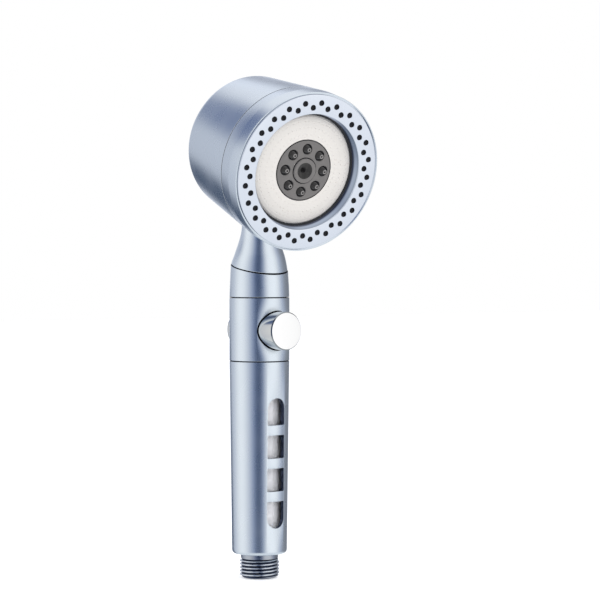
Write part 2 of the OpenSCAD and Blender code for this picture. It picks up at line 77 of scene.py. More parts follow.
def head_frame():
    """The matrix from head millimetres to row metres."""
    right = Vector((1, 0, 0))
    up = SPRAY_AXIS.cross(right).normalized()
    turn = Matrix((right, up, SPRAY_AXIS)).transposed().to_4x4()
    return Matrix.Translation(FACE_CENTRE) @ turn @ Matrix.Scale(MM, 4)


HEAD = head_frame()
HANDLE = Matrix.Scale(MM, 4)
PUSH_AXIS = Vector(JOINTS["stop_push"]["axis"]).normalized()
VALVE_TURN = Matrix.Rotation(math.atan2(-PUSH_AXIS.x, PUSH_AXIS.y), 4, "Z")


def low_z(node):
    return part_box(node)[0].z / MM


def high_z(node):
    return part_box(node)[1].z / MM


def widest(node):
    """Radius of an upright round node."""
    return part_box(node)[1].x / MM


# ---------------------------------------------------------------- mesh helpers

SEAM_EDGE = 0.35  # rounding of a painted edge at a joint, in mm
FINE_EDGE = 0.1  # rounding of an edge that should look sharp


def add_object(name, verts, faces, matrix=HANDLE):
    mesh = bpy.data.meshes.new(name)
    mesh.from_pydata([matrix @ Vector(v) for v in verts], [], faces)
    mesh.validate()
    piece = bpy.data.objects.new(name, mesh)
    bpy.context.scene.collection.objects.link(piece)
    return piece


def rounded(points, steps=4):
    """A closed outline of (r, z, fillet) points as plain (r, z) points."""
    out = []
    count = len(points)
    for i, point in enumerate(points):
        here = Vector(point[:2])
        fillet = point[2] if len(point) > 2 else 0
        if not fillet:
            out.append(here)
            continue
        to_last = (Vector(points[i - 1][:2]) - here)
        to_next = (Vector(points[(i + 1) % count][:2]) - here)
        half = to_last.angle(to_next) / 2
        reach = min(fillet / math.tan(half), to_last.length * 0.48, to_next.length * 0.48)
        start = here + to_last.normalized() * reach
        end = here + to_next.normalized() * reach
        for k in range(steps + 1):
            t = k / steps
            out.append(start * (1 - t) ** 2 + here * 2 * t * (1 - t) + end * t * t)
    return [(p.x, p.y) for p in out]


def ring_stack(name, rings, segments):
    """A closed ring-shaped solid about z from (radius at an angle, height) rings."""
    verts, faces = [], []
    for radius_at, z in rings:
        for k in range(segments):
            a = 2 * math.pi * k / segments
            r = radius_at(a)
            verts.append((r * math.cos(a), r * math.sin(a), z))
    for i in range(len(rings)):
        a, b = i * segments, (i + 1) % len(rings) * segments
        for k in range(segments):
            m = (k + 1) % segments
            faces.append([a + k, a + m, b + m, b + k])
    return add_object(name, verts, faces)


def lathe(name, points, matrix=HANDLE, segments=160, steps=4, move=None):
    """A solid of revolution about z. Points on the axis (r = 0) share one vertex a ring.

    move, where given, takes (x, y, z) in millimetres and returns where that point goes."""
    outline = rounded(points, steps)
    verts = []
    rings = []
    for r, z in outline:
        if r < 1e-6:
            rings.append([len(verts)] * segments)
            verts.append((0, 0, z))
        else:
            rings.append(list(range(len(verts), len(verts) + segments)))
            for k in range(segments):
                a = 2 * math.pi * k / segments
                verts.append((r * math.cos(a), r * math.sin(a), z))
    if move:
        verts = [move(*v) for v in verts]
    faces = []
    for i in range(len(outline)):
        a, b = rings[i], rings[(i + 1) % len(outline)]
        for k in range(segments):
            m = (k + 1) % segments
            face = [a[k], a[m], b[m], b[k]]
            face = [v for j, v in enumerate(face) if v != face[j - 1]]
            if len(face) > 2:
                faces.append(face)
    return add_object(name, verts, faces, matrix)


def rod(name, r, low, high, matrix=HANDLE, segments=128):
    """A plain cylinder, used to cut bores."""
    return lathe(name, [(0, low), (r, low), (r, high), (0, high)], matrix, segments)


def join(name, pieces):
    """Pieces that stand clear of each other or touch, as one object."""
    for piece in bpy.context.scene.objects:
        piece.select_set(piece in pieces)
    bpy.context.view_layer.objects.active = pieces[0]
    bpy.ops.object.join()
    pieces[0].name = name
    return pieces[0]


def apply_modifiers(piece):
    graph = bpy.context.evaluated_depsgraph_get()
    mesh = bpy.data.meshes.new_from_object(piece.evaluated_get(graph))
    piece.modifiers.clear()
    piece.data = mesh
    return piece


def cut(piece, cutter):
    """Cuts a cutter out of a piece and deletes the cutter."""
    change = piece.modifiers.new("cut", "BOOLEAN")
    change.object = cutter
    change.operation = "DIFFERENCE"
    change.solver = "EXACT"
    change.use_self = False
    apply_modifiers(piece)
    bpy.data.objects.remove(cutter)
    return piece


def bevel(piece, width, angle=40, segments=2):
    """Rounds every edge sharper than angle by width millimetres."""
    change = piece.modifiers.new("bevel", "BEVEL")
    change.width = width * MM
    change.segments = segments
    change.limit_method = "ANGLE"
    change.angle_limit = math.radians(angle)
    change.use_clamp_overlap = True
    return apply_modifiers(piece)


def smooth(piece, angle=32):
    """Shades a piece smooth, with sharp edges only where faces turn by more than angle."""
    piece.data.shade_smooth()
    piece.data.set_sharp_from_angle(angle=math.radians(angle))
    return piece


NECK_CLEAR_Z = 172  # whatever lies wholly above this height isn't mirrored in the neck


def lowest(piece):
    """Lowest height of a mesh in millimetres."""
    return min(v.co.z for v in piece.data.vertices) / MM


def finish_piece(piece, material, body, slot, *nodes):
    """Puts a piece on its body, with its material, in place of its CAD nodes; its slot is not used."""
    piece.data.materials.clear()
    piece.data.materials.append(material)
    piece.visible_glossy = lowest(piece) < NECK_CLEAR_Z
    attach(piece, body)
    if nodes:
        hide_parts(*nodes)
    return piece


def polar(r, angle):
    """Translation to a point r from the axis at an angle in degrees."""
    a = math.radians(angle)
    return Matrix.Translation((r * math.cos(a), r * math.sin(a), 0))


# ---------------------------------------------------------------- material helpers

class Paint:
    """A node-based material, built step by step."""

    def __init__(self, name, colour, roughness, metallic=0.0):
        self.name = name
        self.material = bpy.data.materials.new(name)
        self.material.use_nodes = True
        self.nodes = self.material.node_tree.nodes
        self.links = self.material.node_tree.links
        self.shader = self.nodes["Principled BSDF"]
        self.set("Base Color", (*colour, 1))
        self.set("Roughness", roughness)
        self.set("Metallic", metallic)
        self.where = self.nodes.new("ShaderNodeTexCoord").outputs["Object"]

    def set(self, socket, value):
        self.shader.inputs[socket].default_value = value

    def link(self, a, b):
        self.links.new(a, b)

    def noise(self, scale, detail=3.0, stretch=(1, 1, 1), rough=0.5):
        """Noise whose cells are scale millimetres across, stretched along the axes."""
        place = self.nodes.new("ShaderNodeMapping")
        place.inputs["Scale"].default_value = [s / (scale * MM) for s in stretch]
        self.link(self.where, place.inputs["Vector"])
        tex = self.nodes.new("ShaderNodeTexNoise")
        tex.inputs["Scale"].default_value = 1.0
        tex.inputs["Detail"].default_value = detail
        tex.inputs["Roughness"].default_value = rough
        self.link(place.outputs["Vector"], tex.inputs["Vector"])
        return tex.outputs["Fac"]

    def speckle(self, scale, size=0.3):
        """Fine dots, one in each cell of scale millimetres."""
        place = self.nodes.new("ShaderNodeMapping")
        place.inputs["Scale"].default_value = [1 / (scale * MM)] * 3
        self.link(self.where, place.inputs["Vector"])
        tex = self.nodes.new("ShaderNodeTexVoronoi")
        tex.inputs["Scale"].default_value = 1.0
        self.link(place.outputs["Vector"], tex.inputs["Vector"])
        return self.spread(tex.outputs["Distance"], size, size * 1.6, 1.0, 0.0)

    def depth(self):
        """Depth in millimetres behind the spray face."""
        dot = self.nodes.new("ShaderNodeVectorMath")
        dot.operation = "DOT_PRODUCT"
        dot.inputs[1].default_value = SPRAY_AXIS
        self.link(self.where, dot.inputs[0])
        front = SPRAY_AXIS.dot(FACE_CENTRE)
        return self.spread(dot.outputs["Value"], front, front - MM, 0, 1, clamp=False)

    def spread(self, value, low, high, to_low, to_high, clamp=True):
        """Maps a value from low..high to to_low..to_high."""
        change = self.nodes.new("ShaderNodeMapRange")
        change.clamp = clamp
        change.inputs["From Min"].default_value = low
        change.inputs["From Max"].default_value = high
        change.inputs["To Min"].default_value = to_low
        change.inputs["To Max"].default_value = to_high
        self.link(value, change.inputs["Value"])
        return change.outputs["Result"]

    def mix(self, factor, colour_a, colour_b):
        blend = self.nodes.new("ShaderNodeMix")
        blend.data_type = "RGBA"
        self.link(factor, blend.inputs["Factor"])
        for socket, colour in (("A", colour_a), ("B", colour_b)):
            slot = [s for s in blend.inputs if s.name == socket and s.type == "RGBA"][0]
            if isinstance(colour, tuple):
                slot.default_value = (*colour, 1)
            else:
                self.link(colour, slot)
        return [s for s in blend.outputs if s.type == "RGBA"][0]

    def colour(self, output):
        self.link(output, self.shader.inputs["Base Color"])
        return self

    def roughness(self, output):
        self.link(output, self.shader.inputs["Roughness"])
        return self

    def bump(self, height, distance, strength=0.5):
        """Bumps the surface; distance is in millimetres."""
        node = self.nodes.new("ShaderNodeBump")
        node.inputs["Distance"].default_value = distance * MM
        node.inputs["Strength"].default_value = strength
        self.link(height, node.inputs["Height"])
        last = self.shader.inputs["Normal"].links
        if last:
            self.link(last[0].from_socket, node.inputs["Normal"])
        self.link(node.outputs["Normal"], self.shader.inputs["Normal"])
        return self


def satin_metal(name, colour, roughness):
    """Metallic paint: fine flakes under a satin coat."""
    paint = Paint(name, colour, roughness, 1.0)
    flake = paint.noise(0.15, detail=2)
    cloud = paint.noise(14, detail=2)
    dark = tuple(c * 0.97 for c in colour)
    light = tuple(min(1, c * 1.02) for c in colour)
    paint.colour(paint.mix(flake, dark, light))
    paint.roughness(paint.spread(cloud, 0.3, 0.7, roughness - 0.02, roughness + 0.03))
    paint.bump(flake, 0.0004, 0.2)
    return paint


def ring_paint(name, colour, roughness):
    """Satin paint of the face plate, with painted shade that darkens it down the wall of its recess and
    in its holes.
    """
    # painted shade: the colours the recess wall darkens to with depth, from the lip down to the
    # near-black foot
    lip_painted_shade, middle_painted_shade, foot_painted_shade = (0.295, 0.345, 0.41), (0.40, 0.46, 0.56), (0.035, 0.045, 0.08)
    paint = satin_metal(name, colour, roughness)
    depth = paint.depth()
    painted = paint.shader.inputs["Base Color"].links[0].from_socket
    upper = paint.mix(paint.spread(depth, 0.6, 2.2, 0, 1), lip_painted_shade, middle_painted_shade)
    wall = paint.mix(paint.spread(depth, 3.5, 4.7, 0, 1), upper, foot_painted_shade)
    paint.colour(paint.mix(paint.spread(depth, 0.2, 0.6, 0, 1), painted, wall))
    return paint


def polished(name, colour, roughness=0.05):
    """Chrome plating with the faint haze of handling."""
    paint = Paint(name, colour, roughness, 1.0)
    haze = paint.noise(3.5, detail=5)
    paint.roughness(paint.spread(haze, 0.35, 0.75, roughness, roughness + 0.05))
    paint.bump(paint.noise(9, detail=1), 0.004, 0.15)
    return paint


def turned_metal(name, colour, roughness):
    """Machined metal with fine turning marks around z."""
    paint = Paint(name, colour, roughness, 1.0)
    marks = paint.noise(0.35, detail=4, stretch=(0.02, 0.02, 1))
    paint.colour(paint.mix(marks, tuple(c * 0.88 for c in colour), colour))
    paint.roughness(paint.spread(marks, 0.3, 0.7, roughness - 0.05, roughness + 0.08))
    paint.bump(marks, 0.02, 0.3)
    return paint


def moulded(name, colour, roughness):
    """Moulded plastic with a fine spark-eroded grain."""
    paint = Paint(name, colour, roughness)
    fine = paint.noise(0.25, detail=3)
    cloud = paint.noise(12, detail=2)
    dark = tuple(c * 0.96 for c in colour)
    light = tuple(min(1, c * 1.03) for c in colour)
    paint.colour(paint.mix(cloud, dark, light))
    paint.roughness(paint.spread(fine, 0.3, 0.7, roughness - 0.06, roughness + 0.06))
    paint.bump(fine, 0.012, 0.5)
    return paint


def threaded_metal(name, colour, crest_r, root_r):
    """Turned metal, bright on the thread's crests and darkened down in its grooves by painted shade."""
    # painted shade: the navy the thread's grooves darken to
    groove_painted_shade = (0.05, 0.065, 0.11)
    paint = turned_metal(name, colour, 0.27)
    flat = paint.nodes.new("ShaderNodeVectorMath")
    flat.operation = "MULTIPLY"
    flat.inputs[1].default_value = (1, 1, 0)
    paint.link(paint.where, flat.inputs[0])
    length = paint.nodes.new("ShaderNodeVectorMath")
    length.operation = "LENGTH"
    paint.link(flat.outputs[0], length.inputs[0])
    bright = paint.shader.inputs["Base Color"].links[0].from_socket
    groove = paint.spread(length.outputs["Value"], crest_r * MM, root_r * MM, 0, 1)
    paint.colour(paint.mix(groove, bright, groove_painted_shade))
    return paint


def painted_shade_metal(name, colour):
    """Dull dark metal as painted shade inside joints and on cut walls."""
    paint = Paint(name, colour, 0.5, 1.0)
    stain = paint.noise(1.5, detail=3)
    paint.colour(paint.mix(stain, tuple(c * 0.8 for c in colour), tuple(c * 1.2 for c in colour)))
    paint.roughness(paint.spread(stain, 0.3, 0.7, 0.4, 0.6))
    paint.bump(stain, 0.01, 0.3)
    return paint


def rubber(name, colour, shine=0.3):
    """Matt rubber with a little pale dust on it."""
    paint = Paint(name, colour, 0.55)
    paint.set("Specular IOR Level", shine)
    fine = paint.noise(0.18, detail=4)
    dust = paint.noise(2.2, detail=5)
    light = tuple(min(1, c * 1.5 + 0.003) for c in colour)
    paint.colour(paint.mix(paint.spread(dust, 0.5, 0.75, 0, 1), colour, light))
    paint.roughness(paint.spread(fine, 0.3, 0.7, 0.48, 0.66))
    paint.bump(fine, 0.015, 0.5)
    return paint


def clear_plastic(name):
    """Clear acrylic with faint flow marks."""
    paint = Paint(name, (0.93, 0.95, 0.97), 0.05)
    paint.set("IOR", 1.49)
    paint.set("Transmission Weight", 1.0)
    paint.set("Alpha", 0.3)
    swirl = paint.noise(5, detail=2, stretch=(1, 1, 0.3))
    paint.roughness(paint.spread(swirl, 0.4, 0.7, 0.03, 0.1))
    paint.bump(swirl, 0.03, 0.2)
    return paint


def wound_fibre(name):
    """White filter yarn with loose fibres."""
    paint = Paint(name, (0.90, 0.89, 0.89), 0.85)
    fibre = paint.noise(0.5, detail=6, stretch=(1, 1, 4), rough=0.7)
    tuft = paint.noise(2.5, detail=3)
    paint.colour(paint.mix(tuft, (0.90, 0.89, 0.90), (0.95, 0.94, 0.94)))
    paint.set("Sheen Weight", 0.3)
    paint.bump(fibre, 0.03, 0.4)
    return paint


def cream_disc(name):
    """Mineral-filled plastic: cream, with a few darker and browner specks."""
    base, pale, speck = (0.70, 0.668, 0.615), (0.735, 0.70, 0.65), (0.42, 0.33, 0.26)
    paint = Paint(name, base, 0.42)
    cloud = paint.noise(9, detail=3)
    specks = paint.speckle(1.5, 0.13)
    rare = paint.spread(paint.noise(2.6, detail=0), 0.56, 0.6, 0, 0.5)
    pick = paint.nodes.new("ShaderNodeMath")
    pick.operation = "MULTIPLY"
    paint.link(specks, pick.inputs[0])
    paint.link(rare, pick.inputs[1])
    ground = paint.mix(cloud, base, pale)
    paint.colour(paint.mix(pick.outputs[0], ground, speck))
    paint.bump(paint.noise(0.3, detail=3), 0.01, 0.4)
    return paint


BODY_BLUE = (0.70, 0.765, 0.83)
FACE_BLUE = (0.80, 0.845, 0.925)
THREAD_CREST_R, THREAD_GROOVE_R = 10.1, 9.6  # where the thread's bright metal ends and its painted shade begins

PAINTS = (
    satin_metal("body_paint", BODY_BLUE, 0.27),
    ring_paint("face_paint", FACE_BLUE, 0.36),
    polished("chrome", (0.965, 0.965, 0.965)),
    threaded_metal("connector_metal", (0.70, 0.74, 0.80), THREAD_CREST_R, THREAD_GROOVE_R),
    turned_metal("steel", (0.62, 0.62, 0.63), 0.3),
    clear_plastic("clear_plastic"),
    moulded("white_plastic", (0.82, 0.82, 0.80), 0.4),
    wound_fibre("filter_cotton"),
    moulded("inner_plastic", (0.30, 0.31, 0.33), 0.45),
    turned_metal("valve_brass", (0.78, 0.62, 0.36), 0.28),
    cream_disc("disc_plastic"),
    moulded("centre_plastic", (0.158, 0.148, 0.140), 0.42),
    rubber("nozzle_rubber", (0.006, 0.007, 0.010), 0.2),
    rubber("cone_rubber", (0.028, 0.026, 0.024), 0.4),
    rubber("seal_rubber", (0.02, 0.021, 0.024)),
)
MATERIALS = {paint.name: paint.material for paint in PAINTS}

# Second materials, for the parts of a piece's surface that differ from the rest: painted shade in
# joints, holes, grooves, dishes, on cut walls and on the caps' skirts and chamfers, and painted light on
# the centre nozzles' tips
JOINT_PAINTED_SHADE = painted_shade_metal("joint_painted_shade", (0.018, 0.022, 0.038)).material
# painted shade on the sleeve's window walls and inner bore
WALL_PAINTED_SHADE = painted_shade_metal("wall_painted_shade", (0.055, 0.07, 0.12)).material
# painted shade in the puck's dish, on the disc's middle hole wall and on the centre plate's edge
DISH_PAINTED_SHADE = rubber("dish_painted_shade", (0.040, 0.038, 0.036), 0.15).material
# near-black painted shade in holes, grooves and bores
HOLE_PAINTED_SHADE = rubber("hole_painted_shade", (0.009, 0.008, 0.008), 0.1).material
# painted light on the centre nozzles' tips
TIP_PAINTED_LIGHT = rubber("tip_painted_light", (0.21, 0.20, 0.19), 0.4).material
# painted shade: greyer and darker copies of the chrome for the caps' skirts and chamfers
SKIRT_PAINTED_SHADE = polished("skirt_painted_shade", (0.66, 0.67, 0.66)).material
CHAMFER_PAINTED_SHADE = polished("chamfer_painted_shade", (0.30, 0.32, 0.33)).material

for part in frame["record"]["subparts"]:
    shown = frame["nodes"][part["node"]]
    shown.data.materials.clear()
    shown.data.materials.append(MATERIALS[part["material_slot"]])
    shown.visible_glossy = lowest(shown) < NECK_CLEAR_Z
    smooth(shown, 28)


def add_piece(piece, body, slot, *nodes):
    """Finishes a piece in its slot's own material."""
    return finish_piece(piece, MATERIALS[slot], body, slot, *nodes)


def repaint(piece, material, inside, place=HANDLE):
    """Gives a finished piece's faces a second material where inside(centre, normal) is true.

    Both are in place's own frame, the centre in millimetres."""
    piece.data.materials.append(material)
    back = place.inverted()
    turn = back.to_3x3()
    for face in piece.data.polygons:
        if inside(back @ face.center, (turn @ face.normal).normalized()):
            face.material_index = len(piece.data.materials) - 1
    return piece


def axis_distance(point):
    """Distance of a point from its frame's z axis."""
    return math.hypot(point.x, point.y)


def near_joint(height, slant=0.0, reach=0.6):
    """Test for faces that look along z into a joint at a height, which may slant along y."""
    def inside(centre, normal):
        return abs(centre.z - height - centre.y * math.tan(slant)) < reach and abs(normal.z) > 0.5
    return inside


# ---------------------------------------------------------------- handle

SLEEVE_LOW, SLEEVE_TOP = low_z("handle_sleeve"), high_z("handle_sleeve")
SLEEVE_TOP_R = widest("handle_sleeve")
SLEEVE_LOW_R = 14.65
SLEEVE_FLOOR_H, SLEEVE_MOUTH_R, SLEEVE_LOW_ROUND = 2, 10.0, 3.0
SLEEVE_BORE_R = widest("filter_tube") + 0.1
WINDOW_W, WINDOW_Z = 10.9, 27.3
END_WINDOW_H, MID_WINDOW_H, BAR_H = 14.3, 12.25, 5.3
CUT_EDGE = 0.3  # bevel of the edges of windows and holes


def window_cutter(z1, z2, low_round, high_round):
    """A slot outline in x and z, drawn through the front wall of the sleeve."""
    half, corner = WINDOW_W / 2, 0.5
    full_round = half - 0.001
    front_y, inner_y = -SLEEVE_TOP_R - 3, -6
    steps = 16

    def corner_arc(x, z, r, start):
        return [(x + r * math.cos(math.radians(start + 90 * k / steps)),
                 z + r * math.sin(math.radians(start + 90 * k / steps))) for k in range(steps + 1)]

    low_r = full_round if low_round else corner
    high_r = full_round if high_round else corner
    outline = (corner_arc(half - low_r, z1 + low_r, low_r, -90)
               + corner_arc(half - high_r, z2 - high_r, high_r, 0)
               + corner_arc(-half + high_r, z2 - high_r, high_r, 90)
               + corner_arc(-half + low_r, z1 + low_r, low_r, 180))
    count = len(outline)
    verts = [(x, y, z) for y in (front_y, inner_y) for x, z in outline]
    faces = [list(range(count)), list(range(2 * count - 1, count - 1, -1))]
    faces += [[k, k + count, (k + 1) % count + count, (k + 1) % count] for k in range(count)]
    return add_object("window_cutter", verts, faces, HANDLE @ VALVE_TURN)


def make_sleeve():
    """The tapered handle sleeve with its column of four windows."""
    floor_z = SLEEVE_LOW + SLEEVE_FLOOR_H
    sleeve = lathe("sleeve", [
        (SLEEVE_BORE_R, SLEEVE_TOP, FINE_EDGE), (SLEEVE_TOP_R, SLEEVE_TOP, SEAM_EDGE),
        (SLEEVE_LOW_R, SLEEVE_LOW, SLEEVE_LOW_ROUND), (SLEEVE_MOUTH_R, SLEEVE_LOW, 0.2),
        (SLEEVE_MOUTH_R, floor_z), (SLEEVE_BORE_R, floor_z)
    ], segments=256, steps=8)
    z = WINDOW_Z
    windows = ((END_WINDOW_H, True, False), (MID_WINDOW_H, False, False),
               (MID_WINDOW_H, False, False), (END_WINDOW_H, False, True))
    for height, low_round, high_round in windows:
        cut(sleeve, window_cutter(z, z + height, low_round, high_round))
        z += height + BAR_H
    bevel(sleeve, CUT_EDGE)
    add_piece(smooth(sleeve), "handle", "body_paint", "handle_sleeve")

    def on_window_wall(centre, normal):
        share = (centre.z - SLEEVE_LOW) / (SLEEVE_TOP - SLEEVE_LOW)
        skin_r = SLEEVE_LOW_R + (SLEEVE_TOP_R - SLEEVE_LOW_R) * share
        return WINDOW_Z - 1 < centre.z < SLEEVE_TOP - 4 and axis_distance(centre) < skin_r - SEAM_EDGE

    # painted shade: dark metal on the window walls and the inner bore, and in the joint at the sleeve's
    # top
    repaint(sleeve, WALL_PAINTED_SHADE, on_window_wall)
    return repaint(sleeve, JOINT_PAINTED_SHADE, near_joint(SLEEVE_TOP))


THREAD_R, THREAD_ROOT_R, THREAD_PITCH, THREAD_TOP = 10.4775, 9.32, 1.814, 10.2
CONNECTOR_BORE_R, CONNECTOR_NECK_R, FLANGE_R = 6.6, 9.9, 12.6


def thread_r(angle, z):
    """Radius of the threaded end: a helix whose turns fade in and out."""
    if z > THREAD_TOP:
        return CONNECTOR_NECK_R
    flat_share, flank_share, fade_h = 0.14, 0.28, 0.9
    turn = (z / THREAD_PITCH - angle / (2 * math.pi)) % 1
    depth = min(1, max(0, (abs(turn - 0.5) - flat_share) / flank_share))
    fade = min(1, max(0, (z - 0.3) / fade_h)) * min(1, max(0, (THREAD_TOP - z) / fade_h))
    chamfer = min(0, (z - 0.5)) * 0.9
    return THREAD_ROOT_R + (THREAD_R - THREAD_ROOT_R) * (1 - depth) * fade + chamfer


def make_connector():
    """The hose connector: the threaded end and the flange that holds it in the sleeve."""
    neck_top, flange_top = SLEEVE_LOW + 2.2, high_z("hose_connector")
    step = 0.12
    outside = [(lambda a, z=i * step: thread_r(a, z), i * step) for i in range(int(neck_top / step) + 1)]
    inside = [(lambda a: CONNECTOR_BORE_R, neck_top), (lambda a: CONNECTOR_BORE_R, 0.4),
              (lambda a: CONNECTOR_BORE_R + 0.4, 0)]
    thread = ring_stack("connector_thread", outside + inside, 128)
    flange = lathe("connector_flange", [
        (CONNECTOR_BORE_R, neck_top), (FLANGE_R, neck_top, FINE_EDGE), (FLANGE_R, flange_top, FINE_EDGE),
        (CONNECTOR_BORE_R, flange_top)])
    return add_piece(smooth(join("threaded_connector", [thread, flange]), 50),
                     "handle", "connector_metal", "hose_connector")


COTTON_BULGE = 0.3  # the wound yarn stands this far out of the plain solid, in mm
COTTON_MEAN_R = widest("filter_cotton") + COTTON_BULGE - 0.12
COTTON_BORE_R = 4.6


def cotton_r(angle, z):
    """Radius of the wound cotton: two sets of low ridges that cross."""
    starts, turns_per_mm, ridge_h = 8, 2.4, 0.1
    lean = starts * angle
    wave = max(math.sin(lean + z * turns_per_mm), math.sin(-lean + z * turns_per_mm))
    return COTTON_MEAN_R + ridge_h * wave


def make_cotton():
    """The filter's wound cotton."""
    low, high = low_z("filter_cotton"), high_z("filter_cotton")
    rows = 240
    outside = [(lambda a: COTTON_MEAN_R, low)]
    for i in range(1, rows):
        z = low + (high - low) * i / rows
        outside.append((lambda a, z=z: cotton_r(a, z), z))
    outside.append((lambda a: COTTON_MEAN_R, high))
    inside = [(lambda a: COTTON_BORE_R, high), (lambda a: COTTON_BORE_R, low)]
    cotton = ring_stack("wound_cotton", outside + inside, 180)
    return add_piece(smooth(cotton, 60), "filter_cartridge", "filter_cotton", "filter_cotton")


# ---------------------------------------------------------------- stop valve and collars

CAP_R = (high_z("front_cap") - low_z("front_cap")) / 2
BUTTON_Z = low_z("front_cap") + CAP_R
CAP_WALL, CAP_FACE = 1.1, 2.0
CAP_FRONT_Y, CAP_REAR_Y, CAP_SKIRT_Y, BUTTON_TRAVEL = 24.0, 16.0, 11.8, 8.0
CAP_CHAMFER = 0.55
BUTTON_HOLE_R = CAP_R + 0.5
COLLAR_R = widest("valve_collar")
COLLAR_IN_R = 14.35
NECK_JOINT_Z, NECK_SLANT = 165.3, math.radians(12.5)
SLANT_REACH = 0.9  # how far from a slanted joint's plane its faces painted in shade lie
SEAM = 0.15  # half the width of a joint's gap


def along_button(y, facing):
    """Frame on the button's axis: z = 0 at y along it, +z pointing to the rear (1) or front (-1)."""
    turn = Matrix.Rotation(math.radians(-90 * facing), 4, "X")
    return HANDLE @ VALVE_TURN @ Matrix.Translation((0, y, BUTTON_Z)) @ turn


def make_valve_collar():
    """The collar around the valve, with a round hole for each cap."""
    low, high = low_z("valve_collar"), high_z("valve_collar")
    collar = lathe("button_collar", [
        (COLLAR_IN_R, low, FINE_EDGE), (COLLAR_R, low, SEAM_EDGE), (COLLAR_R, high, SEAM_EDGE),
        (COLLAR_IN_R, high, FINE_EDGE)], segments=256)
    cut(collar, rod("hole_cutter", BUTTON_HOLE_R, -20, 20, along_button(0, 1)))
    bevel(collar, CUT_EDGE)
    add_piece(smooth(collar), "upper_unit", "body_paint", "valve_collar")
    # painted shade: dark metal inside the collar and its button hole, and in the joints at both ends
    repaint(collar, JOINT_PAINTED_SHADE, lambda centre, normal: axis_distance(centre) < COLLAR_R - 0.4)
    repaint(collar, JOINT_PAINTED_SHADE, near_joint(low))
    return repaint(collar, JOINT_PAINTED_SHADE, near_joint(high))


def make_cap(name, node, face_y, skirt, facing):
    """A bright cap with a slightly crowned face, a chamfered edge and a skirt, with greyer chrome on the
    skirt and darker chrome on the chamfer as painted shade.
    """
    place = along_button(face_y, facing)
    crown_h, in_r = 0.12, CAP_R - CAP_WALL
    chamfer_z = crown_h + CAP_CHAMFER
    skirt_z = chamfer_z + 0.03
    cap = lathe(name, [
        (0, 0), (CAP_R * 0.5, 0.02), (CAP_R * 0.8, 0.06), (CAP_R - CAP_CHAMFER, crown_h),
        (CAP_R, chamfer_z, FINE_EDGE), (CAP_R, skirt, 0.2), (in_r, skirt, 0.2),
        (in_r, CAP_FACE, 0.3), (0, CAP_FACE)], place)
    add_piece(smooth(cap, 25), "stop_button", "chrome", node)

    def on_skirt(centre, normal):
        return abs(normal.z) < 0.4 and centre.z > skirt_z

    def on_chamfer(centre, normal):
        return crown_h < centre.z <= skirt_z and abs(normal.z) < 0.9

    # painted shade: greyer chrome on the skirt and darker chrome on the chamfer
    repaint(cap, SKIRT_PAINTED_SHADE, on_skirt, place)
    return repaint(cap, CHAMFER_PAINTED_SHADE, on_chamfer, place)


def slanted(low, high, gape=0.0):
    """Tilts a ring's points towards the slanted joint, fully at high and not at all at low.

    The joint gapes by some millimetres more at the front."""
    def move(x, y, z):
        share = min(1, max(0, (z - low) / (high - low)))
        return x, y, z + (y * math.tan(NECK_SLANT) - gape * max(0, -y / COLLAR_R) ** 2) * share
    return move


def make_upper_collar():
    """The collar that starts straight, draws in and ends at the slanted joint."""
    low, top = low_z("upper_collar"), NECK_JOINT_Z - SEAM
    top_r, bore_r, bore_z, gape = 15.25, 9.5, low + 9, 0.35
    collar = lathe("slant_collar", [
        (COLLAR_IN_R, low, FINE_EDGE), (COLLAR_R - 0.05, low, SEAM_EDGE), (COLLAR_R - 0.25, low + 6, 14),
        (top_r, top, SEAM_EDGE), (bore_r, top, FINE_EDGE), (bore_r, bore_z), (COLLAR_IN_R, bore_z)
    ], segments=224, steps=8, move=slanted(low + 7, top - 1, gape))
    add_piece(smooth(collar), "upper_unit", "body_paint", "upper_collar")
    # painted shade in the joints at the collar's two ends
    repaint(collar, JOINT_PAINTED_SHADE, near_joint(low))
    return repaint(collar, JOINT_PAINTED_SHADE, near_joint(top, NECK_SLANT, SLANT_REACH))


# ---------------------------------------------------------------- head

HEAD_R, HEAD_BACK_R, HEAD_DEPTH, HEAD_ROUND = 41.85, 36.4, 66.0, 6.0
RIM_IN_R, RIM_FRONT = 41.3, 0.15
TAPER_START, MODE_JOINT = 8.0, 17.5
RUN_R, WALL = 37.4, 2.5
SEAT_R, SEAT_FRONT, SEAT_BACK, SEAT_BACK_R = 36.5, 26, 33, 35.2
NECK_CURVE_Z, NECK_CURVE_H = 161.5, 27.0
NECK_START_R, NECK_TOP_R = 15.3, 9.3
NECK_BORE_R, WATERWAY_R, WATERWAY_Z = 9.05, 6.5, 172
NECK_END_Z = 206  # inside the head, where the neck is cut off


def shell_r(depth):
    """Outer radius of the head at a depth behind the face: straight, then tapered."""
    taper = (HEAD_R - HEAD_BACK_R) / (HEAD_DEPTH - TAPER_START)
    return HEAD_R - taper * max(0, depth - TAPER_START)


def neck_r(z):
    """Outer radius of the neck, which draws in along half a cosine wave."""
    share = min(1, max(0, (z - NECK_CURVE_Z) / NECK_CURVE_H))
    return NECK_TOP_R + (NECK_START_R - NECK_TOP_R) * (1 + math.cos(math.pi * share)) / 2


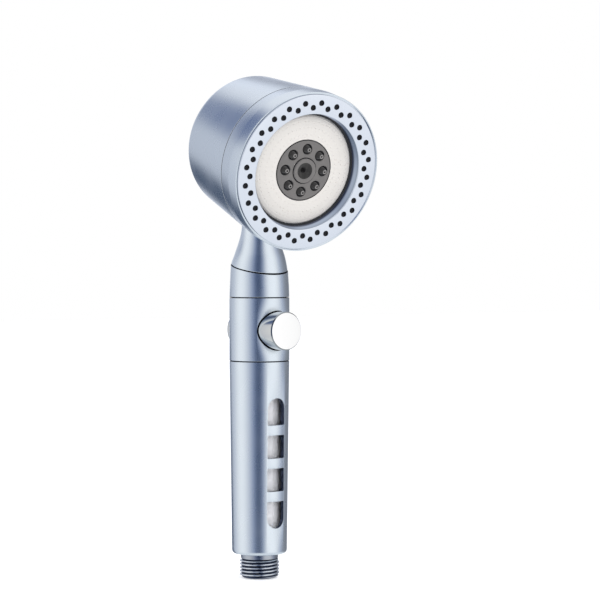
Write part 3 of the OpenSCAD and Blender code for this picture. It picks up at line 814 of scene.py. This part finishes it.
def make_housing():
    """The head's rear shell, with the hole where the neck's waterway comes in."""
    front = -MODE_JOINT - SEAM
    back_r, inner_z = shell_r(HEAD_DEPTH), -HEAD_DEPTH + WALL
    shell = lathe("rear_housing", [
        (RUN_R, front, FINE_EDGE), (shell_r(MODE_JOINT), front, SEAM_EDGE),
        (back_r, -HEAD_DEPTH, HEAD_ROUND), (0, -HEAD_DEPTH), (0, inner_z), (back_r - WALL, inner_z, 3),
        (SEAT_BACK_R, -SEAT_BACK), (SEAT_R, -SEAT_BACK), (SEAT_R, -SEAT_FRONT), (RUN_R, -SEAT_FRONT)
    ], HEAD, segments=256, steps=12)
    cut(shell, rod("bore_cutter", WATERWAY_R, 180, 196, segments=64))
    add_piece(smooth(shell), "upper_unit", "body_paint", "head_housing")
    # painted shade in the mode joint at the housing's front
    return repaint(shell, JOINT_PAINTED_SHADE, near_joint(front), HEAD)


def make_neck():
    """The neck below the housing, cut off where it meets the housing's shell."""
    start, steps = NECK_JOINT_Z + SEAM, 40
    heights = [start + (NECK_END_Z - start) * k / steps for k in range(1, steps + 1)]
    neck = lathe("neck", [(NECK_BORE_R, start, FINE_EDGE), (neck_r(start), start, SEAM_EDGE)]
                 + [(neck_r(z), z) for z in heights]
                 + [(WATERWAY_R, NECK_END_Z), (WATERWAY_R, WATERWAY_Z), (NECK_BORE_R, WATERWAY_Z)],
                 move=slanted(start + 6, start + 0.5))
    cut(neck, lathe("head_cutter", [
        (0, -MODE_JOINT), (shell_r(MODE_JOINT), -MODE_JOINT),
        (shell_r(HEAD_DEPTH), -HEAD_DEPTH, HEAD_ROUND), (0, -HEAD_DEPTH)
    ], HEAD, segments=256, steps=12))
    add_piece(smooth(neck), "upper_unit", "body_paint", "head_housing")
    # painted shade in the slanted joint at the neck's foot
    return repaint(neck, JOINT_PAINTED_SHADE, near_joint(start, NECK_SLANT, SLANT_REACH))


def make_mode_ring():
    """The front part of the head's side, which turns with the face."""
    back, tail_back, tail_r = -MODE_JOINT + SEAM, -25.4, RUN_R - 0.05
    shelf_r, shelf_z, tail_in_r, tail_front = 38.4, -2.0, 36.0, -15.5
    ring = lathe("turning_ring", [
        (shelf_r, shelf_z), (RIM_IN_R, shelf_z), (RIM_IN_R, -RIM_FRONT, FINE_EDGE),
        (HEAD_R, -RIM_FRONT, 0.25), (HEAD_R, -TAPER_START, 6), (shell_r(MODE_JOINT), back, SEAM_EDGE),
        (tail_r, back), (tail_r, tail_back), (tail_in_r, tail_back), (tail_in_r, tail_front),
        (shelf_r, tail_front)
    ], HEAD, segments=256, steps=6)
    add_piece(smooth(ring), "spray_face", "body_paint", "mode_ring")
    # painted shade in the mode joint at the ring's back
    return repaint(ring, JOINT_PAINTED_SHADE, near_joint(back), HEAD)


FACE_R, FACE_IN_R = 40.6, 30.6
LIP_R, LIP_OUT_R, LIP_DEPTH = 29.9, 31.0, 5.8
MAT_FRONT, MAT_BACK, PLATE_BACK = 2.0, 3.6, 7.6
DISC_R, DISC_EDGE_DEPTH, DISC_DEPTH = 28.9, 6.8, 4.5
RAIN_COUNT, RAIN_IN_R, RAIN_OUT_R, RAIN_HOLE_R, RAIN_START = 24, 33.85, 36.4, 1.45, 4.8
CENTRE_R, CENTRE_DEPTH, CENTRE_COUNT, CENTRE_RING_R = 15.9, 3.7, 8, 11.3
CENTRE_HOLE_R, CONE_FOOT_R, CONE_BORE_R, CONE_TIP_DEPTH = 2.8, 2.66, 0.45, 1.8
PUCK_R, PUCK_DEPTH, PUCK_STEM_R = 6.4, 2.9, 3.95
DISC_HOLE_R = CENTRE_R + 0.3
MIST_ROWS = ((25.6, 5.16, 72), (22.3, 4.82, 60), (18.6, 4.62, 48))  # radius, depth, count


def rain_places():
    """The two staggered rows of rain holes, as translations in the head's frame."""
    for i in range(RAIN_COUNT):
        yield polar(RAIN_IN_R, RAIN_START + 360 * i / RAIN_COUNT)
        yield polar(RAIN_OUT_R, RAIN_START + 360 * (i + 0.5) / RAIN_COUNT)


def centre_places():
    """The ring of centre nozzles."""
    for i in range(CENTRE_COUNT):
        yield polar(CENTRE_RING_R, 360 * i / CENTRE_COUNT)


def make_face_plate():
    """The pale ring with the rain holes, whose inner wall runs down to the disc."""
    plate = lathe("face_ring", [
        (FACE_IN_R, 0, SEAM_EDGE), (FACE_R, 0, SEAM_EDGE), (FACE_R, -MAT_FRONT, FINE_EDGE),
        (FACE_IN_R + 1.2, -MAT_FRONT, FINE_EDGE), (LIP_OUT_R, -MAT_BACK), (LIP_OUT_R, -LIP_DEPTH),
        (LIP_R, -LIP_DEPTH, 0.3)
    ], HEAD, segments=256, steps=6)
    chamfer_r = RAIN_HOLE_R + 0.2
    cutters = [lathe("hole", [(0, -4), (RAIN_HOLE_R, -4), (RAIN_HOLE_R, -0.25),
                              (RAIN_HOLE_R + 0.06, -0.1), (chamfer_r, 0.02), (chamfer_r, 1), (0, 1)],
                     HEAD @ place, segments=40) for place in rain_places()]
    cut(plate, join("holes", cutters))
    add_piece(smooth(plate, 24), "spray_face", "face_paint", "face_plate")

    def in_hole(centre, normal):
        inner, outer = RAIN_IN_R - 2 * RAIN_HOLE_R, RAIN_OUT_R + 2 * RAIN_HOLE_R
        return (inner < axis_distance(centre) < outer and abs(normal.z) < 0.5
                and -MAT_FRONT < centre.z < -0.1)

    # painted shade: the rain holes' walls in near-black
    return repaint(plate, HOLE_PAINTED_SHADE, in_hole, HEAD)


def make_rain_nozzles():
    """The rubber mat behind the face plate, with a hollow tip in each rain hole."""
    tip_r, bore_r, mat_in_r, mat_out_r = RAIN_HOLE_R - 0.25, 0.42, FACE_IN_R + 1.25, 38.3
    mat = lathe("rain_mat", [(mat_in_r, -MAT_BACK), (mat_out_r, -MAT_BACK), (mat_out_r, -MAT_FRONT),
                             (mat_in_r, -MAT_FRONT)], HEAD)
    tips = [lathe("tip", [(bore_r, -MAT_FRONT), (tip_r, -MAT_FRONT), (tip_r, -1.2, 0.3),
                          (0.75, -0.8, 0.15), (bore_r, -0.9, FINE_EDGE)],
                  HEAD @ place, segments=28) for place in rain_places()]
    nozzles = smooth(join("rain_tips", [mat] + tips), 45)
    return add_piece(nozzles, "spray_face", "nozzle_rubber", "rain_nozzles")


def make_spray_disc():
    """The domed cream disc with rings of very fine mist holes."""
    disc = lathe("mist_disc", [
        (DISC_HOLE_R, -PLATE_BACK), (DISC_R, -PLATE_BACK), (DISC_R, -DISC_EDGE_DEPTH, 0.2),
        (DISC_R - 0.3, -6.1, 0.4), (DISC_R - 1.0, -5.5, 0.6), (DISC_R - 2.4, -5.15, 1.5),
        (DISC_R - 6.9, -DISC_DEPTH - 0.3, 3), (DISC_HOLE_R, -DISC_DEPTH, 0.15)
    ], HEAD, segments=256)
    holes = []
    for r, depth, count in MIST_ROWS:
        for i in range(count):
            holes.append(lathe("mist_hole", [(0, -depth - 0.9), (0.13, -depth - 0.9),
                                             (0.17, -depth + 0.1), (0, -depth + 0.1)],
                               HEAD @ polar(r, 360 * (i + 0.5) / count), segments=10))
    cut(disc, join("mist_holes", holes))
    add_piece(smooth(disc), "spray_face", "disc_plastic", "spray_disc")

    def on_hole_wall(centre, normal):
        return axis_distance(centre) < DISC_HOLE_R + 0.05

    # painted shade on the wall of the disc's middle hole
    return repaint(disc, DISH_PAINTED_SHADE, on_hole_wall, HEAD)


def make_centre_plate():
    """The dark plate with a hole for each centre nozzle and a groove around the puck."""
    bore_r, edge_r, top = 4.0, CENTRE_R - 0.05, -CENTRE_DEPTH - 0.1
    groove_r, groove_in_r, groove_z = PUCK_R + 0.5, PUCK_R - 0.2, -CENTRE_DEPTH - 0.9
    plate = lathe("centre_disc", [
        (bore_r, -PLATE_BACK), (edge_r, -PLATE_BACK), (edge_r, -CENTRE_DEPTH - 0.8, 0.3),
        (CENTRE_R - 1.9, -CENTRE_DEPTH - 0.4, 1), (CENTRE_RING_R, top, 2),
        (groove_r, -CENTRE_DEPTH, 0.15), (groove_r, groove_z), (groove_in_r, groove_z),
        (groove_in_r, -CENTRE_DEPTH), (bore_r, -CENTRE_DEPTH)], HEAD, segments=192)
    mouth_r = CENTRE_HOLE_R + 0.2
    holes = [lathe("hole", [(0, -8), (CENTRE_HOLE_R, -8), (CENTRE_HOLE_R, top - 0.25),
                            (mouth_r, top + 0.02), (mouth_r, top + 1), (0, top + 1)],
                   HEAD @ place, segments=48) for place in centre_places()]
    cut(plate, join("holes", holes))
    add_piece(smooth(plate, 24), "spray_face", "centre_plastic", "centre_plate")

    def in_hole_or_groove(centre, normal):
        wall_or_floor = abs(normal.z) < 0.3 or centre.z < top - 0.75
        return wall_or_floor and axis_distance(centre) < CENTRE_R - 0.5

    def on_edge(centre, normal):
        return axis_distance(centre) > CENTRE_R - SEAM_EDGE

    # painted shade on the plate's outer edge, and near-black painted shade in the nozzle holes and the
    # groove
    repaint(plate, DISH_PAINTED_SHADE, on_edge, HEAD)
    return repaint(plate, HOLE_PAINTED_SHADE, in_hole_or_groove, HEAD)


def make_centre_nozzles():
    """The rubber cones in the centre plate's holes: painted shade darkens them at the foot and in their
    bores, painted light makes them pale at the tip.
    """
    foot_z, base_z, tip_z = -PLATE_BACK - 1.4, -CENTRE_DEPTH - 1.4, -CONE_TIP_DEPTH
    cones = [lathe("cone", [
        (CONE_BORE_R, foot_z), (CONE_FOOT_R, foot_z), (CONE_FOOT_R, base_z, 0.2), (2.0, base_z, 0.2),
        (1.7, base_z + 1.2, 0.8), (1.1, tip_z - 0.15, 0.15), (0.9, tip_z, 0.06), (0.5, tip_z, 0.05),
        (CONE_BORE_R, tip_z - 0.3)], HEAD @ place, segments=48) for place in centre_places()]
    nozzles = smooth(join("centre_cones", cones), 40)
    add_piece(nozzles, "spray_face", "cone_rubber", "centre_nozzles")

    def at_foot(centre, normal):
        return centre.z < base_z + 0.3

    def at_tip(centre, normal):
        return centre.z > tip_z - 0.2

    def in_bore(centre, normal):
        reach = min(axis_distance(centre - place.translation) for place in centre_places())
        return reach < CONE_BORE_R + 0.03

    # near-black painted shade at the cones' foot and in their bores, pale painted light on their tips
    repaint(nozzles, HOLE_PAINTED_SHADE, at_foot, HEAD)
    repaint(nozzles, TIP_PAINTED_LIGHT, at_tip, HEAD)
    return repaint(nozzles, HOLE_PAINTED_SHADE, in_bore, HEAD)


def make_centre_puck():
    """The dished cap in the middle, with a blind hole at the bottom of its dish."""
    rim, base = -PUCK_DEPTH, -CENTRE_DEPTH
    hole_r, hole_z, dark_r = 1.4, rim - 3.6, 3.9
    puck = lathe("dished_puck", [
        (0, -PLATE_BACK), (PUCK_STEM_R, -PLATE_BACK), (PUCK_STEM_R, base), (PUCK_R, base),
        (PUCK_R, rim, SEAM_EDGE), (PUCK_R - 1.0, rim, 0.3), (4.4, rim - 0.2, 0.6),
        (3.4, rim - 0.9, 0.6), (2.2, rim - 1.8, 0.5), (hole_r, rim - 2.2, 0.2),
        (hole_r - 0.1, hole_z), (0, hole_z)
    ], HEAD, segments=128)
    add_piece(smooth(puck), "spray_face", "centre_plastic", "centre_puck")
    # painted shade darkens the dish, and near-black painted shade fills its blind hole
    repaint(puck, DISH_PAINTED_SHADE, lambda centre, normal: axis_distance(centre) < dark_r, HEAD)
    return repaint(puck, HOLE_PAINTED_SHADE, lambda centre, normal: axis_distance(centre) < hole_r + 0.1, HEAD)


make_sleeve()
make_connector()
make_cotton()
make_valve_collar()
make_cap("front_button", "front_cap", -CAP_FRONT_Y, CAP_FRONT_Y - CAP_SKIRT_Y, 1)
make_cap("rear_button", "rear_cap", CAP_REAR_Y, CAP_REAR_Y - CAP_SKIRT_Y + BUTTON_TRAVEL, -1)
make_upper_collar()
make_housing()
make_neck()
make_mode_ring()
make_face_plate()
make_rain_nozzles()
make_spray_disc()
make_centre_plate()
make_centre_nozzles()
make_centre_puck()

# ---------------------------------------------------------------- camera, light and floor

CAMERA_TURN = math.radians(-31.5)
CAMERA_RISE = math.radians(1.2)
CAMERA_DISTANCE = 1051.6 * MM
FOCAL_IN_FRAMES = 3.2865
AIM_HEIGHT = 140.0 * MM
AIM_RIGHT, AIM_UP = 21.65 * MM, 7.9 * MM
SENSOR_WIDTH = 36


def toward(angle, rise):
    """Unit vector at an angle around from -y and a rise above the horizon, in radians."""
    return Vector((math.sin(angle) * math.cos(rise), -math.cos(angle) * math.cos(rise), math.sin(rise)))


def add_camera():
    back = toward(CAMERA_TURN, CAMERA_RISE)
    right = Vector((math.cos(CAMERA_TURN), math.sin(CAMERA_TURN), 0))
    up = back.cross(right)
    camera = bpy.data.objects.new("camera", bpy.data.cameras.new("camera"))
    camera.data.sensor_width = SENSOR_WIDTH
    camera.data.lens = SENSOR_WIDTH * FOCAL_IN_FRAMES
    camera.data.clip_start = 0.05
    turn = Matrix((right, up, back)).transposed().to_4x4()
    spot = Vector((0, 0, AIM_HEIGHT)) + CAMERA_DISTANCE * back + AIM_RIGHT * right + AIM_UP * up
    camera.matrix_world = Matrix.Translation(spot) @ turn
    bpy.context.scene.collection.objects.link(camera)
    bpy.context.scene.camera = camera


def add_floor():
    """A plain pale floor just under the hose connector."""
    half, drop = 4.0, 0.4 * MM
    corners = [(-half, -half, 0), (half, -half, 0), (half, half, 0), (-half, half, 0)]
    floor = add_object("floor", corners, [[0, 1, 2, 3]], Matrix.Translation((0, 0, -drop)))
    paint = Paint("pale_floor", (0.92, 0.92, 0.93), 0.9)
    paint.roughness(paint.spread(paint.noise(40, detail=2), 0.3, 0.7, 0.85, 0.95))
    paint.set("Emission Color", (1, 1, 1, 1))
    paint.set("Emission Strength", 0.5)
    floor.data.materials.append(paint.material)
    floor.visible_glossy = False


STUDIO = (  # what the metal mirrors around the horizon: angle from the camera, brightness
    (-180, 1.10), (-165, 0.90), (-146, 0.58), (-116, 0.68), (-97, 0.94), (-80, 1.10), (-62, 1.04),
    (-41, 0.71), (-24, 0.36), (-12, 0.10), (5, 0.07), (16, 0.30), (27, 0.78), (38, 1.12),
    (66, 1.16), (80, 0.96), (97, 0.54), (116, 0.32), (144, 0.24), (162, 0.30), (173, 0.75), (180, 1.10))


# Dark patches behind the object, which only the side of the head mirrors
UPPER_BAND, TOP_SHADE, LOWER_BAND = (0.12, 0.17, 0.32), (0.36, 0.38, 0.45), (0.05, 0.08, 0.14)


def add_studio():
    """A soft studio as a world: bright walls with a dark gap behind the camera, a bright ceiling."""
    world = bpy.data.worlds.new("studio")
    bpy.context.scene.world = world
    world.use_nodes = True
    nodes, links = world.node_tree.nodes, world.node_tree.links
    nodes.clear()

    def math_node(operation, *values):
        node = nodes.new("ShaderNodeMath")
        node.operation = operation
        for i, value in enumerate(values):
            if isinstance(value, (int, float)):
                node.inputs[i].default_value = value
            else:
                links.new(value, node.inputs[i])
        return node.outputs[0]

    def ramp(value, low, high):
        """0 at low, 1 at high, with a soft start and end."""
        node = nodes.new("ShaderNodeMapRange")
        node.interpolation_type = "SMOOTHSTEP"
        node.inputs["From Min"].default_value = low
        node.inputs["From Max"].default_value = high
        links.new(value, node.inputs["Value"])
        return node.outputs["Result"]

    direction = nodes.new("ShaderNodeTexCoord").outputs["Generated"]
    turned = nodes.new("ShaderNodeVectorRotate")
    turned.rotation_type = "Z_AXIS"
    turned.inputs["Angle"].default_value = -CAMERA_TURN
    links.new(direction, turned.inputs["Vector"])
    split = nodes.new("ShaderNodeSeparateXYZ")
    links.new(turned.outputs["Vector"], split.inputs[0])
    side, up = split.outputs[0], split.outputs[2]
    front = math_node("MULTIPLY", split.outputs[1], -1.0)

    angle = math_node("ARCTAN2", side, front)
    around = nodes.new("ShaderNodeValToRGB")
    share = math_node("MULTIPLY_ADD", angle, 1 / (2 * math.pi), 0.5)
    links.new(share, around.inputs["Fac"])
    stops = around.color_ramp.elements
    while len(stops) > 1:
        stops.remove(stops[-1])
    for i, (degrees, level) in enumerate(STUDIO):
        stop = stops[0] if i == 0 else stops.new((degrees + 180) / 360)
        stop.position = (degrees + 180) / 360
        blue = max(0, 1 - level) ** 2 if abs(degrees) < 100 else 0.1
        stop.color = (level * (1 - 0.42 * blue), level, level * (1 + 1.1 * blue), 1)

    def patch(degrees, rise, wide, narrow):
        """1 inside a soft round patch of the sky, 0 outside; wide and narrow are its edge's angles."""
        dot = nodes.new("ShaderNodeVectorMath")
        dot.operation = "DOT_PRODUCT"
        dot.inputs[1].default_value = toward(math.radians(degrees), math.radians(rise))
        links.new(turned.outputs["Vector"], dot.inputs[0])
        return ramp(dot.outputs["Value"], math.cos(math.radians(wide)), math.cos(math.radians(narrow)))

    def blend(factor, a, colour):
        node = nodes.new("ShaderNodeMix")
        node.data_type = "RGBA"
        links.new(factor, node.inputs["Factor"])
        links.new(a, [s for s in node.inputs if s.name == "A" and s.type == "RGBA"][0])
        [s for s in node.inputs if s.name == "B" and s.type == "RGBA"][0].default_value = (*colour, 1)
        return [s for s in node.outputs if s.type == "RGBA"][0]

    sky = around.outputs["Color"]
    ceiling = math_node("MULTIPLY_ADD", math_node("MAXIMUM", front, 0.0), -0.35, up)
    sky = blend(ramp(ceiling, 0.55, 0.72), sky, (1.0, 1.0, 1.02))
    sky = blend(patch(-120, 37, 21, 9), sky, UPPER_BAND)
    sky = blend(patch(177, 26, 14, 5), sky, TOP_SHADE)
    sky = blend(ramp(up, -0.30, -0.55), sky, (0.87, 0.90, 0.93))
    sky = blend(patch(-150, -17, 21, 9), sky, LOWER_BAND)

    mirrored = nodes.new("ShaderNodeBackground")
    links.new(sky, mirrored.inputs["Color"])
    seen = nodes.new("ShaderNodeBackground")
    seen.inputs["Color"].default_value = (1, 1, 1, 1)
    seen.inputs["Strength"].default_value = 1.0
    switch = nodes.new("ShaderNodeMixShader")
    links.new(nodes.new("ShaderNodeLightPath").outputs["Is Camera Ray"], switch.inputs["Fac"])
    links.new(mirrored.outputs[0], switch.inputs[1])
    links.new(seen.outputs[0], switch.inputs[2])
    out = nodes.new("ShaderNodeOutputWorld")
    links.new(switch.outputs[0], out.inputs["Surface"])


def add_light(name, degrees, rise, distance, size, power):
    """A soft square light aimed at the object's middle, left out of mirror reflections."""
    middle = Vector((0, 0, 0.15))
    spot = middle + distance * toward(math.radians(degrees) + CAMERA_TURN, math.radians(rise))
    light = bpy.data.objects.new(name, bpy.data.lights.new(name, "AREA"))
    light.data.size = size
    light.data.energy = power
    light.location = spot
    light.rotation_euler = (spot - middle).to_track_quat("Z", "Y").to_euler()
    light.visible_glossy = False
    bpy.context.scene.collection.objects.link(light)


add_camera()
add_floor()
add_studio()
add_light("front_light", 35, 35, 1.2, 0.9, 3.5)
add_light("side_light", -70, 25, 1.2, 0.8, 1.0)
bpy.context.scene.view_settings.view_transform = "Standard"
